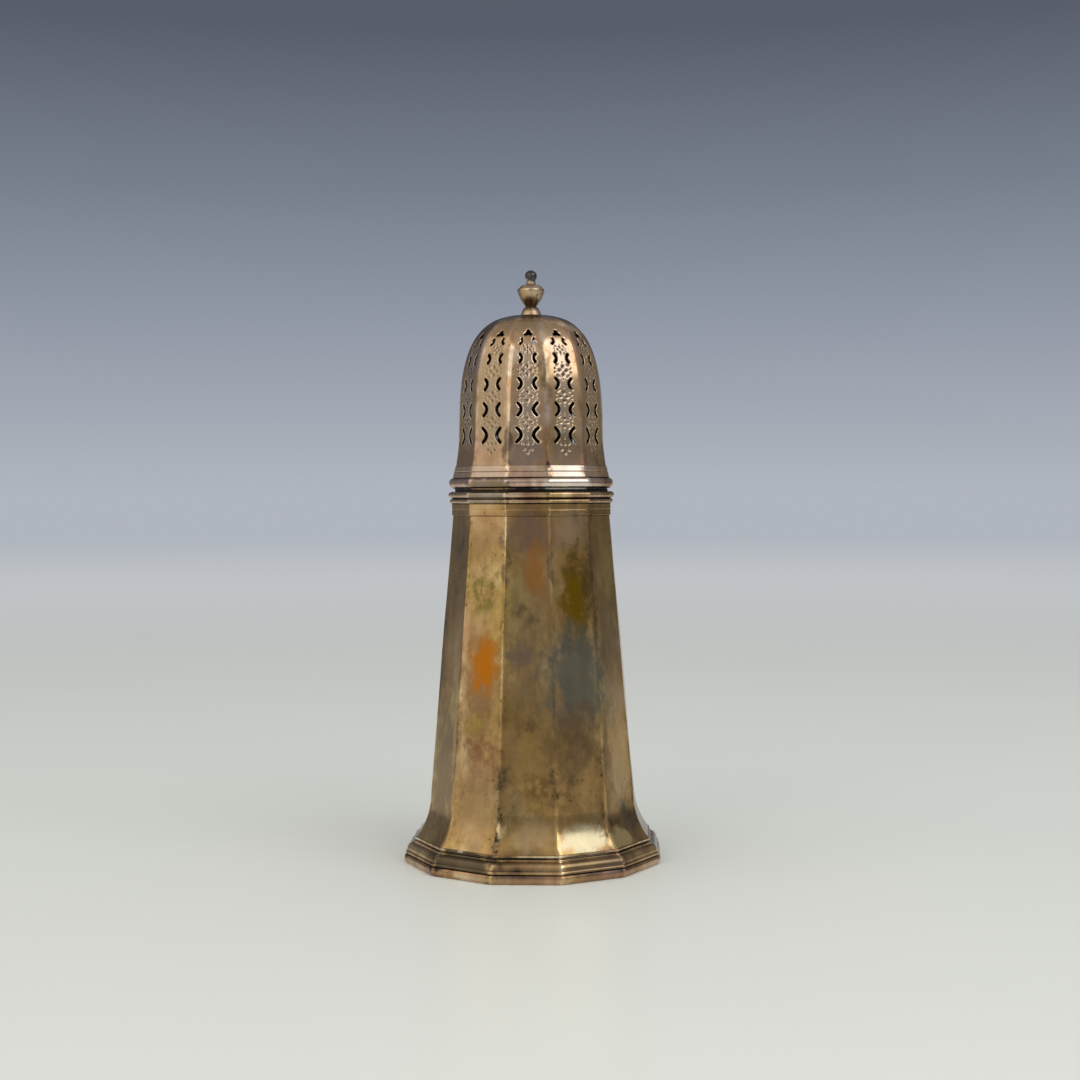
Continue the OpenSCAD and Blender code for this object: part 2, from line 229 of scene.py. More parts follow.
def silver(name, level, blotch, speck, wear, dull, stains_and_reflections=(), bands=(), tint=None, chased=0.0, stray=STRAY):
    """Old silver under a tarnish that runs from straw through brown to near black.

    level is how far it has gone, blotch how uneven it is, speck how strong the dark specks are,
    wear how far marked edges are rubbed bright, on the light rows of rings also as a painted highlight,
    and dull how rough the metal is. The patches passed in lie over it all: tarnish stains, and also
    painted highlights, painted reflections and painted shade.
    Each band (z from, z to, change), in millimetres, is where the tarnish thickens or thins.
    tint is multiplied over the colour. chased is how far the metal round engraved work is paler
    and greyer, and stray how far the edges of these patches wander, in millimetres.
    """
    s = Shader(name)
    place = s.strayed(stray)
    broken = s.span(s.noise(2.6, 0.8, (21, 4, 6), 5.0, 0.68), 0.42, 0.58)
    specks = dark_specks(s)
    tarnish = s.total(level, s.times(uneven(s, place, broken), blotch))
    z = s.node("ShaderNodeSeparateXYZ", {"Vector": s.mm}).outputs["Z"]
    for start, end, change in bands:
        tarnish = s.total(tarnish, s.span(z, start, end, 0, change, smooth=True))
    stretch = s.noise(15, 0.5, (3, 3, 9), 4.0, 0.6)
    # Lighter where edges are marked: rubbed metal, and on the light rows of rings also a painted highlight.
    rubbed_and_lit = s.times(s.attribute("arris"), s.span(stretch, 0.46, 0.6))
    grimed = s.times(s.attribute("arris"), s.span(stretch, 0.5, 0.4))
    tarnish = s.total(tarnish, s.times(specks, speck), s.times(rubbed_and_lit, -wear), s.times(grimed, ARRIS_GRIME))
    # Darker in cuts: tarnish in the engraving, and at the dark rows of rings tarnish with painted shade in
    # grooves and seams.
    tarnish = s.math("ADD", tarnish, s.times(s.attribute("cut"), CUT_GRIME_AND_SHADE), clamp=True)
    colour = s.ramp(tarnish, TARNISH)
    for hue, size, upright, shift, start, most in HUES:
        share = s.span(s.noise(size, upright, shift, 3.0, 0.55, place), start, 0.7, 0, most)
        colour = s.mix(share, colour, s.mix(1.0, colour, hue, "MULTIPLY"))
    if tint:
        colour = s.mix(1.0, colour, tint, "MULTIPLY")
    if chased:
        clean = s.times(s.attribute("chased"), s.math("SUBTRACT", 1.0, s.attribute("cut")))
        colour = s.mix(s.times(clean, chased), colour, CHASED)
    ragged = s.span(s.noise(3.0, 0.7, (17, 2, 9), 5.0, 0.65), 0.3, 0.7, -0.3, 0.3)
    # Patches laid over the colour: tarnish stains, and also painted highlights, painted reflections and
    # painted shade.
    for stain_or_reflection in stains_and_reflections:
        share = s.times(s.oval(place, stain_or_reflection, ragged), stain_or_reflection.share)
        if stain_or_reflection.mottled:
            share = s.times(share, broken)
        colour = s.mix(share, colour, stain_or_reflection.colour)
    smear = s.span(s.noise(3.2, 0.35, (7, 7, 7), 4.0, 0.6), 0.3, 0.7, -0.04, 0.05)
    rough = s.total(dull, smear, s.times(tarnish, TARNISH_ROUGH), s.times(specks, SPECK_ROUGH))
    dents, pits = s.noise(5.5, shift=(4, 4, 4)), s.noise(1.3, shift=(8, 1, 3))
    uneven_face = s.total(s.times(dents, DENT_D), s.times(pits, PIT_D))
    bump = s.node("ShaderNodeBump", {"Strength": 0.5, "Distance": MM, "Height": uneven_face})
    rough = s.math("MAXIMUM", rough, LEAST_ROUGH)
    s.fill(
        s.find("BSDF_PRINCIPLED"),
        {"Base Color": colour, "Metallic": 1.0, "Roughness": rough, "Normal": bump.outputs["Normal"]},
    )
    return s.mat


# Tarnish stains, painted highlights, painted reflections and painted shade, in millimetres: share is the most
# of the colour, and edge where, from the middle out, it thins
StainOrReflection = namedtuple("StainOrReflection", "centre size colour share edge mottled", defaults=(False,))
# Tarnish stains of the body, and among them painted highlights on the flare, marked below.
BODY_STAINS_AND_REFLECTIONS = (
    StainOrReflection((0, -24, 70), (6.5, 4.5, 32), (0.29, 0.19, 0.1), 0.4, 0.5),
    StainOrReflection((-11.9, -20, 76), (6.5, 6.5, 11), (0.2, 0.155, 0.04), 0.95, 0.3, mottled=True),
    StainOrReflection((-11.9, -21, 66.5), (5, 5, 5.5), (0.6, 0.43, 0.19), 0.5, 0.2),
    StainOrReflection((-13.4, -22.6, 47), (9, 9, 24), (0.23, 0.13, 0.058), 0.85, 0.25),
    StainOrReflection((-12, -22.2, 55.5), (6, 6, 11.5), (0.47, 0.15, 0.006), 0.95, 0.2),
    StainOrReflection((-14, -22.5, 39.5), (4.5, 4.5, 5.5), (0.38, 0.3, 0.06), 0.7, 0.2, mottled=True),
    StainOrReflection((-12.5, -24, 33), (9, 7, 9), (0.22, 0.095, 0.04), 0.85, 0.3, mottled=True),
    StainOrReflection((-0.6, -22.1, 91.5), (7.5, 4, 7.5), (0.29, 0.175, 0.115), 0.8, 0.4),
    StainOrReflection((1.9, -22.8, 81), (4.2, 3.5, 10), (0.46, 0.205, 0.055), 0.92, 0.35),
    StainOrReflection((-0.3, -23.9, 69), (6, 4, 7), (0.19, 0.12, 0.065), 0.75, 0.3, mottled=True),
    StainOrReflection((-1.5, -24.7, 59.5), (5, 4, 8), (0.23, 0.165, 0.12), 0.6, 0.2),
    StainOrReflection((0, -27.5, 30), (8, 4, 14), (0.42, 0.255, 0.085), 0.6, 0.3),
    StainOrReflection((2.5, -28, 24), (7, 4, 7), (0.2, 0.115, 0.04), 0.85, 0.3, mottled=True),
    StainOrReflection((11, -19.5, 92), (8, 8, 8), (0.44, 0.31, 0.21), 0.6, 0.3),
    StainOrReflection((13, -19.6, 74), (8, 8, 20), (0.22, 0.125, 0.004), 0.97, 0.25),
    StainOrReflection((12.6, -19.4, 84), (5, 5, 6.5), (0.15, 0.095, 0.03), 0.8, 0.2, mottled=True),
    StainOrReflection((16.4, -16.6, 77), (3.4, 3.4, 19), (0.14, 0.088, 0.035), 0.8, 0.2),
    StainOrReflection((12.9, -21.9, 52), (12, 12, 20), (0.15, 0.155, 0.13), 0.82, 0.4),
    StainOrReflection((12.9, -23.5, 36), (9, 9, 13), (0.22, 0.138, 0.066), 0.75, 0.35),
    StainOrReflection((12.9, -23.5, 35), (7, 7, 7), (0.17, 0.1, 0.045), 0.7, 0.2, mottled=True),
    StainOrReflection((21, -12.1, 65), (7, 7, 17), (0.3, 0.18, 0.07), 0.55, 0.3),
    # Painted reflection of a lamp: a pale golden patch low on the flare of the far right panel.
    StainOrReflection((25, -19.5, 8.8), (7.5, 7.5, 3.4), (0.75, 0.56, 0.26), 0.75, 0.5),
    StainOrReflection((0, -30, 12), (9, 5, 7), (0.6, 0.43, 0.23), 0.45, 0.3),
    StainOrReflection((-6.1, -22.9, 82), (1.5, 1.5, 17), (0.2, 0.13, 0.07), 0.8, 0.3),
    StainOrReflection((6.1, -22.9, 82), (1.2, 1.2, 16), (0.2, 0.13, 0.07), 0.7, 0.3),
    StainOrReflection((21.2, -17.9, 32), (2.6, 2.6, 15), (0.15, 0.09, 0.05), 0.65, 0.2),
    StainOrReflection((24.5, -13.5, 27), (7, 7, 13), (0.52, 0.37, 0.2), 0.55, 0.3),
    # Painted highlight: a pale cream patch on the flare of the right-front panel.
    StainOrReflection((14.5, -26.8, 10), (8.5, 8.5, 5), (0.44, 0.385, 0.25), 0.8, 0.45),
    StainOrReflection((-23.6, -13.6, 28), (10, 10, 24), (0.22, 0.145, 0.075), 0.8, 0.35),
    StainOrReflection((-14.5, -25.5, 20), (9, 9, 17), (0.36, 0.235, 0.115), 0.5, 0.4),
    # Painted highlight: a thin golden line down the flare at the arris left of the front panel.
    StainOrReflection((-7.9, -28.9, 14), (1.6, 1.6, 6), (0.58, 0.42, 0.22), 0.8, 0.4),
)
BAND_STAINS_AND_REFLECTIONS = (
    StainOrReflection((-10.8, -18.7, 108), (8, 8, 5), (0.4, 0.29, 0.18), 0.6, 0.5),
    # Painted reflection: the right-front side of the band made pale.
    StainOrReflection((10.8, -18.7, 108), (8, 8, 5), (0.48, 0.45, 0.41), 0.65, 0.5),
)
BEAD_PAINTED_LIGHT_AND_SHADE = (
    # Painted shade: the bead's left side made darker.
    StainOrReflection((-12, -20.5, 105), (10, 8, 4), (0.2, 0.138, 0.07), 0.9, 0.5),
    # Painted highlight: the bead's right-front side made pale cream.
    StainOrReflection((12, -20.5, 105), (13, 9, 4), (0.82, 0.76, 0.68), 0.65, 0.5),
)
RIM_PAINTED_SHADE = (
    # Painted shade: the rim's left side made darker.
    StainOrReflection((-12, -20.5, 101), (10, 8, 4), (0.21, 0.155, 0.09), 0.8, 0.5),
)
FOOT_STAINS = (
    StainOrReflection((-19, -30, 4), (15, 9, 7), (0.075, 0.056, 0.036), 0.9, 0.6),
    StainOrReflection((19, -30, 4), (14, 9, 7), (0.18, 0.125, 0.072), 0.75, 0.55),
)
DOME_STAINS_AND_REFLECTIONS = (
    StainOrReflection((-5.4, -20.2, 115), (1.7, 1.7, 8), (0.13, 0.09, 0.06), 0.85, 0.4),
    # Painted dark reflection: a dark strip down the arris right of the front panel.
    StainOrReflection((5, -18.6, 137), (2.1, 2.1, 15), (0.2, 0.135, 0.08), 0.8, 0.35),
    # Painted highlight: a pale strip down the arris left of the front panel.
    StainOrReflection((-5, -18.7, 138), (2, 2, 13), (0.78, 0.68, 0.53), 0.6, 0.4),
    StainOrReflection((0, -20.5, 113), (6.5, 4, 6), (0.3, 0.225, 0.185), 0.8, 0.5),
    StainOrReflection((10.2, -17.7, 112.5), (6.5, 6.5, 7), (0.26, 0.19, 0.125), 0.85, 0.55),
    StainOrReflection((-9.9, -17.1, 131), (7, 7, 26), (0.36, 0.245, 0.138), 0.7, 0.5),
    StainOrReflection((17.1, -9.9, 127), (9, 9, 22), (0.6, 0.42, 0.235), 0.8, 0.5),
)
FINIAL_STAINS_AND_REFLECTIONS = (
    # Painted dark reflections: dark patches at the urn's left and right sides.
    *(StainOrReflection((x, 0, 157.4), (2.8, 5, 3.4), (0.14, 0.097, 0.058), 0.8, 0.3) for x in (-4.2, 4.2)),
    StainOrReflection((0, 0, 155.3), (9, 9, 2.4), (0.13, 0.09, 0.05), 0.8, 0.5),
    StainOrReflection((0, 0, 160.9), (2.4, 2.4, 1.2), (0.24, 0.175, 0.115), 0.8, 0.6),
    StainOrReflection((0, 0, 163.5), (2.6, 2.6, 2), (0.05, 0.053, 0.053), 0.94, 0.8),
)

WALL = silver(
    "tarnished_silver", level=0.53, blotch=0.42, speck=0.33, wear=0.3, dull=0.13, stains_and_reflections=BODY_STAINS_AND_REFLECTIONS,
    tint=(0.97, 0.95, 0.78),
)
DOME = silver(
    "cover_silver", level=0.37, blotch=0.28, speck=0.4, wear=0.25, dull=0.13, stains_and_reflections=DOME_STAINS_AND_REFLECTIONS,
    bands=((148.6, 150.6, 0.5), (119.0, 113.0, 0.17)), tint=(0.97, 0.95, 1.06), chased=0.4,
)
BAND = silver(
    "band_silver", level=0.32, blotch=0.35, speck=0.4, wear=0.15, dull=0.12, stains_and_reflections=BAND_STAINS_AND_REFLECTIONS,
    tint=(1, 1, 1.18),
)
DARK = silver("dark_silver", level=0.49, blotch=0.6, speck=0.4, wear=0.6, dull=0.17, stains_and_reflections=FOOT_STAINS)
EDGE = silver(
    "worn_edge_silver", level=0.42, blotch=0.5, speck=0.5, wear=0.3, dull=0.22, tint=(0.98, 0.96, 1.1)
)
INNER = silver("inner_silver", level=0.5, blotch=0.3, speck=0.3, wear=0.1, dull=0.3)
# Painted shade: the inside of the dome and the walls of its holes are made near black, so they read as
# shaded.
HOLE = silver("painted_shade_silver", level=0.95, blotch=0.12, speck=0.2, wear=0.0, dull=0.45)
RIM = silver(
    "rim_silver", level=0.4, blotch=0.7, speck=0.5, wear=0.4, dull=0.15, stains_and_reflections=RIM_PAINTED_SHADE,
    tint=(0.94, 1, 1.22),
)
BEAD = silver(
    "bead_silver", level=0.33, blotch=0.55, speck=0.5, wear=0.3, dull=0.14, stains_and_reflections=BEAD_PAINTED_LIGHT_AND_SHADE,
    tint=(0.97, 1, 1.35),
)
FINIAL = silver(
    "finial_silver", level=0.5, blotch=0.5, speck=0.5, wear=0.2, dull=0.24, stains_and_reflections=FINIAL_STAINS_AND_REFLECTIONS,
    tint=(0.97, 1, 1.12), stray=1.2,
)


# Meshes
FLATS = np.array((-1, -0.93, -0.8, -0.4, 0, 0.4, 0.8, 0.93, 1))  # across a panel, as shares of its half
ARCS = 4  # steps round an arris
ARRIS_FROM, ARRIS_SIDE, NEAR_FROM = 0.99, 0.6, 0.9  # where a panel's marks begin, and how strong at its side
WAVE_L, WAVE_UPRIGHT = 15, 0.6  # size of the unevenness of hand work
STRAIGHT, EDGE_SHARE = 0.05, 0.48  # least turn that is rounded, and how much of an edge that takes up


def placed(name, data):
    """A new object of the scene."""
    obj = bpy.data.objects.new(name, data)
    bpy.context.scene.collection.objects.link(obj)
    return obj


def piece(name, verts, faces, mats, body, node, marks=None, face_mats=None, sharp=38):
    """A named piece from points in millimetres, that rides on a body and stands for a CAD node."""
    mesh = bpy.data.meshes.new(name)
    mesh.from_pydata((np.asarray(verts) * MM).tolist(), [], [list(map(int, f)) for f in faces])
    if face_mats is not None:
        mesh.polygons.foreach_set("material_index", np.asarray(face_mats, np.int32))
    for key in ("arris", "near", "cut", "chased"):
        layer = mesh.attributes.new(key, "FLOAT", "POINT")
        if marks and key in marks:
            layer.data.foreach_set("value", np.asarray(marks[key], np.float32))
    mesh.update()
    mesh.validate()
    obj = placed(name, mesh)
    for mat in mats:
        mesh.materials.append(mat)
    mesh.polygons.foreach_set("use_smooth", np.ones(len(mesh.polygons), bool))
    mesh.set_sharp_from_angle(angle=math.radians(sharp))
    even = obj.modifiers.new("even_normals", "WEIGHTED_NORMAL")
    even.keep_sharp = True
    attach(obj, body)
    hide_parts(node)


def softened(corners, per_turn=10):
    """Closed section (a, z) whose corners, given as (a, z, radius), are rounded off."""
    out = []
    count = len(corners)
    for i, (a, z, r) in enumerate(corners):
        here = np.array((a, z))
        back = np.array(corners[i - 1][:2]) - here
        on = np.array(corners[(i + 1) % count][:2]) - here
        lb, lo = np.linalg.norm(back), np.linalg.norm(on)
        back, on = back / lb, on / lo
        turn = math.pi - math.acos(np.clip(back @ on, -1, 1))
        if r <= 0 or turn < STRAIGHT:
            out.append(here)
            continue
        reach = min(r * math.tan(turn / 2), EDGE_SHARE * lb, EDGE_SHARE * lo)
        r = reach / math.tan(turn / 2)
        inward = (back + on) / np.linalg.norm(back + on)
        centre = here + inward * math.hypot(r, reach)
        start, end = here + back * reach - centre, here + on * reach - centre
        steps = max(2, math.ceil(math.degrees(turn) / per_turn))
        for k in range(steps + 1):
            mixed = start * math.sin(turn * (1 - k / steps)) + end * math.sin(turn * k / steps)
            out.append(centre + mixed / math.sin(turn))
    return np.array(out)


def outline(a, soft):
    """Points (x, y) and marks of a panelled ring, with panels a from the axis and arrises of radius soft.

    Of the two rows of marks, the first is for the arris itself and the second for the metal near it.
    """
    a, soft = np.asarray(a, float)[:, None], np.asarray(soft, float)[:, None]
    xs, ys, marks = [], [], []
    from_middle = np.abs(FLATS)
    on_panel = np.stack((ARRIS_SIDE * (from_middle > ARRIS_FROM), 1.0 * (from_middle > NEAR_FROM)))
    for k in range(PANELS):
        turn = 2 * HALF * k - math.pi / 2
        out, along = (math.cos(turn), math.sin(turn)), (-math.sin(turn), math.cos(turn))
        side = FLATS * (a - soft) * TAN
        xs.append(out[0] * a + along[0] * side)
        ys.append(out[1] * a + along[1] * side)
        marks.append(on_panel)
        for i in range(1, ARCS):
            f = 2 * HALF * i / ARCS
            r = a - soft + soft * math.cos(f)
            t = (a - soft) * TAN + soft * math.sin(f)
            xs.append(out[0] * r + along[0] * t)
            ys.append(out[1] * r + along[1] * t)
            marks.append(np.ones((2, 1)))
    return np.hstack(xs), np.hstack(ys), np.hstack(marks)


def sweep(section, soft, wave=0.0, seed=0.0):
    """Points, faces, marks and points in a round of a closed section carried round the panels.

    soft is the radius of the arrises at each point of the section. wave is how far the panels
    wander from true, as hand work does.
    """
    section = np.asarray(section)
    soft = np.broadcast_to(soft, len(section))
    xs, ys, marks = outline(section[:, 0], soft)
    rows, cols = xs.shape
    zs = np.repeat(section[:, 1:2], cols, 1)
    if wave:
        for i in range(rows):
            for j in range(cols):
                p = Vector((xs[i, j], ys[i, j], zs[i, j] * WAVE_UPRIGHT)) / WAVE_L + Vector((seed, 0, 0))
                push = 1 + wave * noise.noise(p) / section[i, 0]
                xs[i, j] *= push
                ys[i, j] *= push
    verts = np.stack((xs, ys, zs), -1).reshape(-1, 3)
    grid = np.arange(rows * cols).reshape(rows, cols)
    on = np.roll(grid, -1, 1)
    up, up_on = np.roll(grid, -1, 0), np.roll(on, -1, 0)
    faces = np.stack((grid, on, up_on, up), -1).reshape(-1, 4)
    return verts, faces, {"arris": np.tile(marks[0], rows), "near": np.tile(marks[1], rows)}, cols


def at_level(z, levels):
    """The share of each (level, reach, share) of a list at its level, and 0 beyond its reach."""
    shares = [share * (1 - step(0.5 * reach, reach, np.abs(z - mid))) for mid, reach, share in levels]
    return np.max(shares, 0)


def ring(name, corners, mat, body, node, soft=0.7, wave=0.0, seed=0.0, grime_and_shade=(), bright=()):
    """A soft-cornered ring, darker at the (level, reach, share) rows of the first list, as tarnish with
    painted shade at grooves and seams, and lighter at those of the second, as rubbed metal with a painted
    highlight.
    """
    section = softened(corners)
    verts, faces, marks, cols = sweep(section, soft, wave=wave, seed=seed)
    if grime_and_shade:
        marks["cut"] = np.repeat(at_level(section[:, 1], grime_and_shade), cols)
    if bright:
        rubbed_and_lit = np.repeat(at_level(section[:, 1], bright), cols)
        marks["arris"] = np.maximum(marks["arris"], rubbed_and_lit)
    piece(name, verts, faces, [mat], body, node, marks)


# Foot: the wire it stands on, set in to keep its waviness inside its size, and the stepped moulding above
WIRE_IN = 0.08
ring(
    "foot_wire_silver",
    [
        (FOOT_A - FOOT_WIRE_T, 0, 0.15), (FOOT_A - 0.6, 0, 0.5), (FOOT_A - WIRE_IN, 1.0, 0.9),
        (FOOT_A - WIRE_IN, 1.8, 0.4), (FOOT_A - 0.35, MOULDING_Z, 0.3),
        (FOOT_A - FOOT_WIRE_T, MOULDING_Z, 0.1),
    ],
    EDGE, "caster_body", "foot_wire", soft=1.6, wave=0.12, seed=3.0,
    grime_and_shade=[(MOULDING_Z, 0.9, 0.45)],
)
ovolo = [
    (FLARE_A + 0.75 + 1.75 * math.cos(t), 3.55 + 2.1 * math.sin(t), 0)
    for t in np.linspace(0, math.pi / 2, 9)
]
ring(
    "foot_moulding_silver",
    [
        (FOOT_A - FOOT_WIRE_T, MOULDING_Z, 0.1), (FOOT_A - 0.8, MOULDING_Z, 0.1), (FOOT_A - 0.55, 2.62, 0.2),
        (FOOT_A - 0.4, 3.0, 0.3), (FOOT_A - 0.6, 3.4, 0.2), *ovolo,
        (FLARE_A + 0.72, 6.05, 0.25), (FLARE_A + 0.2, 6.2, 0.15), (FLARE_A + 0.12, 6.4, 0.1),
        (FLARE_A + 0.38, 6.55, 0.15), (FLARE_A + 0.38, 7.0, 0.2), (FLARE_A + 0.2, WALL_Z, 0.1),
        (BASE_A, WALL_Z, 0.05), (BASE_A, WALL_Z - BASE_T, 0.05),
    ],
    DARK, "caster_body", "foot_moulding", soft=1.5, wave=0.12, seed=3.0,
    # Dark rows at the grooves: tarnish with painted shade. Light rows on the fillet and bead: rubbed metal
    # with a painted highlight.
    grime_and_shade=[(MOULDING_Z, 0.3, 0.5), (3.45, 0.2, 0.25), (6.3, 0.22, 0.6)],
    bright=[(6.8, 0.35, 0.8), (3.0, 0.3, 0.3)],
)

# Body wall: a sheet with the flare at its foot and the neck at its top
taper = math.atan((BODY_A - BODY_TOP_A) / (NECK_Z - FLARE_Z))
out = np.array((math.cos(taper), math.sin(taper)))
chord = np.array((FLARE_A - BODY_A, WALL_Z - FLARE_Z))
flare_r = chord @ chord / (2 * chord @ out)
flare_turn = 2 * math.asin(np.linalg.norm(chord) / (2 * flare_r))
flare_mid = np.array((BODY_A, FLARE_Z)) + flare_r * out


def wall_side(depth, top, count_flare=14, count_panel=26):
    """Section of the wall's face depth inside the outer one, from the foot up to the level top."""
    turns = taper + flare_turn * np.linspace(1, 0, count_flare)
    arc = flare_mid - (flare_r + depth) * np.stack((np.cos(turns), np.sin(turns)), 1)
    reach = (top - arc[-1, 1]) * np.linspace(0, 1, count_panel)[1:]
    return np.vstack((arc, np.stack((arc[-1, 0] - reach * math.tan(taper), arc[-1, 1] + reach), 1)))


EASE, LIP_EASE = 0.12, 0.15
outer = wall_side(0, NECK_Z - EASE)
inner = wall_side(WALL_T, NECK_Z - WALL_T)[::-1]
neck = np.array(
    [(BODY_TOP_A - EASE, NECK_Z), (NECK_A, NECK_Z), (NECK_A, LIP_Z - LIP_EASE), (NECK_A - LIP_EASE, LIP_Z),
     (NECK_IN_A + LIP_EASE, LIP_Z), (NECK_IN_A, LIP_Z - LIP_EASE), (NECK_IN_A, NECK_Z - WALL_T)]
)
section = np.vstack((outer, neck, inner))
inside = np.arange(len(section)) >= len(outer) + 5  # the first five points of the neck are outside
flared = 1 - step(FLARE_Z - 8, FLARE_Z + 5, section[:, 1])
verts, faces, marks, cols = sweep(section, np.where(inside, 0.15, 0.9 + 1.8 * flared), wave=0.22)
lip = np.zeros(len(section))
lip[len(outer):len(outer) + 4] = 1
marks["cut"] = np.repeat(lip, cols)
piece(
    "body_wall_silver", verts, faces, [WALL, INNER], "caster_body", "body_wall",
    marks, np.repeat(inside.astype(int), cols),
)


# Mouth of the body: a plain band with a cut line, and a wire of two beads
def lined(low_a, top_a, z0, z1, back_a, line_d=0.15, line_w=0.35):
    """Corners of a band with one cut line round its middle."""
    mid_z, mid_a = (z0 + z1) / 2, (low_a + top_a) / 2
    lean = (low_a - top_a) / (z1 - z0) * line_w / 2
    return [
        (back_a, z0, 0.05), (low_a, z0, 0.2),
        (mid_a + lean, mid_z - line_w / 2, 0.08), (mid_a - line_d, mid_z, 0.04),
        (mid_a - lean, mid_z + line_w / 2, 0.08), (top_a, z1, 0.2), (back_a, z1, 0.05),
    ]


def bead(a, z0, z1, proud, steps=10, full=1.0):
    """Corners of a bead that stands out from a: half-round where full is 1, squarer where it is less."""
    return [
        (a + proud * abs(math.cos(t)) ** full, (z0 + z1) / 2 + (z1 - z0) / 2 * math.sin(t), 0)
        for t in np.linspace(-math.pi / 2, math.pi / 2, steps)
    ]


band_a = NECK_A + MOUTH_BAND_T
ring(
    "mouth_band_silver", lined(band_a, band_a, NECK_Z, RIM_Z, NECK_A, 0.08, 0.3),
    WALL, "caster_body", "mouth_band", wave=0.1, seed=5.0,
    grime_and_shade=[(NECK_Z, 0.25, 0.3), ((NECK_Z + RIM_Z) / 2, 0.12, 0.25), (RIM_Z, 0.2, 0.5)],
)
rim_back = NECK_A + RIM_BACK_T
LOW_BEAD_H, BEAD_GAP = 1.4, 0.06
rim_split = RIM_Z + LOW_BEAD_H
ring(
    "rim_moulding_silver",
    [(NECK_A, RIM_Z, 0), *bead(rim_back, RIM_Z, rim_split - BEAD_GAP, RIM_LOW_T - RIM_BACK_T),
     *bead(rim_back, rim_split + BEAD_GAP, RIM_TOP_Z, RIM_TOP_T - RIM_BACK_T), (NECK_A, RIM_TOP_Z, 0)],
    RIM, "caster_body", "rim_moulding", wave=0.1, seed=5.0,
    # The seams between and round the beads are made near black: tarnish in them with painted shade.
    grime_and_shade=[(RIM_Z, 0.2, 1), (rim_split, 0.25, 0.9), (RIM_TOP_Z, 0.15, 1)],
)

# Cover: the sleeve inside the mouth, the bead, the band and the dome
ring(
    "cover_bezel_silver",
    [(BEZEL_A - BEZEL_T, LIP_Z - BEZEL_DROP, 0.2), (BEZEL_A, LIP_Z - BEZEL_DROP, 0.25),
     (BEZEL_A, DOME_Z, 0.02), (BEZEL_A - BEZEL_T, DOME_Z, 0.02)],
    INNER, "cover", "cover_bezel", soft=0.5,
)
ring(
    "cover_moulding_silver",
    [(BEZEL_A, LIP_Z, 0), (NECK_A, LIP_Z, 0.1), (NECK_A, BEAD_Z - 0.05, 0.1),
     *bead(NECK_A, BEAD_Z, BAND_Z, COVER_BEAD_T, 18, 0.75), (BEZEL_A, BAND_Z, 0)],
    BEAD, "cover", "cover_moulding", soft=2.5, wave=0.1, seed=8.0,
    # The seam where the cover's moulding sits on the mouth is made near black: tarnish in it with painted
    # shade.
    grime_and_shade=[(LIP_Z, 0.6, 1), (BAND_Z, 0.2, 1)],
)
ring(
    "cover_band_silver", lined(BAND_A, BAND_TOP_A, BAND_Z, DOME_Z, BEZEL_A), BAND, "cover",
    "cover_band", soft=3.0, wave=0.1, seed=8.0,
    grime_and_shade=[(BAND_Z, 0.2, 1), ((BAND_Z + DOME_Z) / 2, 0.12, 0.6), (DOME_Z, 0.12, 0.7)],
)


def superellipse(share):
    """Point of the dome's shoulder at a share of its length from the spring line to the crown."""
    height = (CROWN_Z - SPRING_Z) / (1 - (CROWN_FLAT / DOME_A) ** DOME_POWER) ** (1 / DOME_POWER)
    t = math.acos((CROWN_FLAT / DOME_A) ** (DOME_POWER / 2)) * share ** 1.5
    return DOME_A * math.cos(t) ** (2 / DOME_POWER), SPRING_Z + height * math.sin(t) ** (2 / DOME_POWER)


# Section of the dome's outer face: skirt, shoulder and flat crown, by length along it
skirt = [
    (DOME_A + SKIRT_FLARE * (1 - q) ** SKIRT_ROUND, DOME_Z + (SPRING_Z - DOME_Z) * q)
    for q in np.linspace(0, 1, 60)[:-1]
]
curve = np.array(skirt + [superellipse(q) for q in np.linspace(0, 1, 400)] + [(TENON_HOLE_R, CROWN_Z)])
length = np.concatenate(([0], np.cumsum(np.hypot(*np.diff(curve, axis=0).T))))
S_END, S_CROWN = length[-1], length[-2]

# Arris radius of the dome: at its foot, how much more at the shoulder, and its most as a share of a
FOOT_SOFT, MORE_SOFT, MOST_SOFT = 1.2, 2.8, 0.3


def section_at(s):
    """Distance from the axis, level and arris radius of the dome at length s."""
    a, z = np.interp(s, length, curve[:, 0]), np.interp(s, length, curve[:, 1])
    return a, z, np.minimum(FOOT_SOFT + MORE_SOFT * step(DOME_Z + 4, SPRING_Z + 11, z), MOST_SOFT * a)


def half_width(s):
    """Length from a panel's middle line to its arris, along the surface."""
    a, _, soft = section_at(s)
    return (a - soft) * TAN + soft * HALF


def level(z):
    """Length along the section at which the dome reaches the level z."""
    return float(np.interp(z, curve[:-1, 1], length[:-1]))


def by_row(row, ends):
    """Size of a row's slots between that of the lowest and that of the top row."""
    return ends[0] + (ends[1] - ends[0]) * row / (SLOT_ROWS - 1)


def slot_outline(long, bow, wide, count=9):
    """A slot with pointed tips on x = 0, bowed to -x, pinched at its middle by a round boss."""
    q = np.linspace(-1, 1, 2 * count + 1)
    near = -bow * (1 - q * q)
    far = near + wide * (1 - q * q) * (SLOT_PINCH + SLOT_SWELL * q * q)
    return np.vstack((np.stack((near, q * long / 2), 1), np.stack((far, q * long / 2), 1)[-2:0:-1]))


def turned(points, angle):
    c, s = math.cos(angle), math.sin(angle)
    return points @ np.array(((c, s), (-s, c)))


def both_sides(points, x, s):
    return [points + (x, s), points[::-1] * (-1, 1) + (-x, s)]


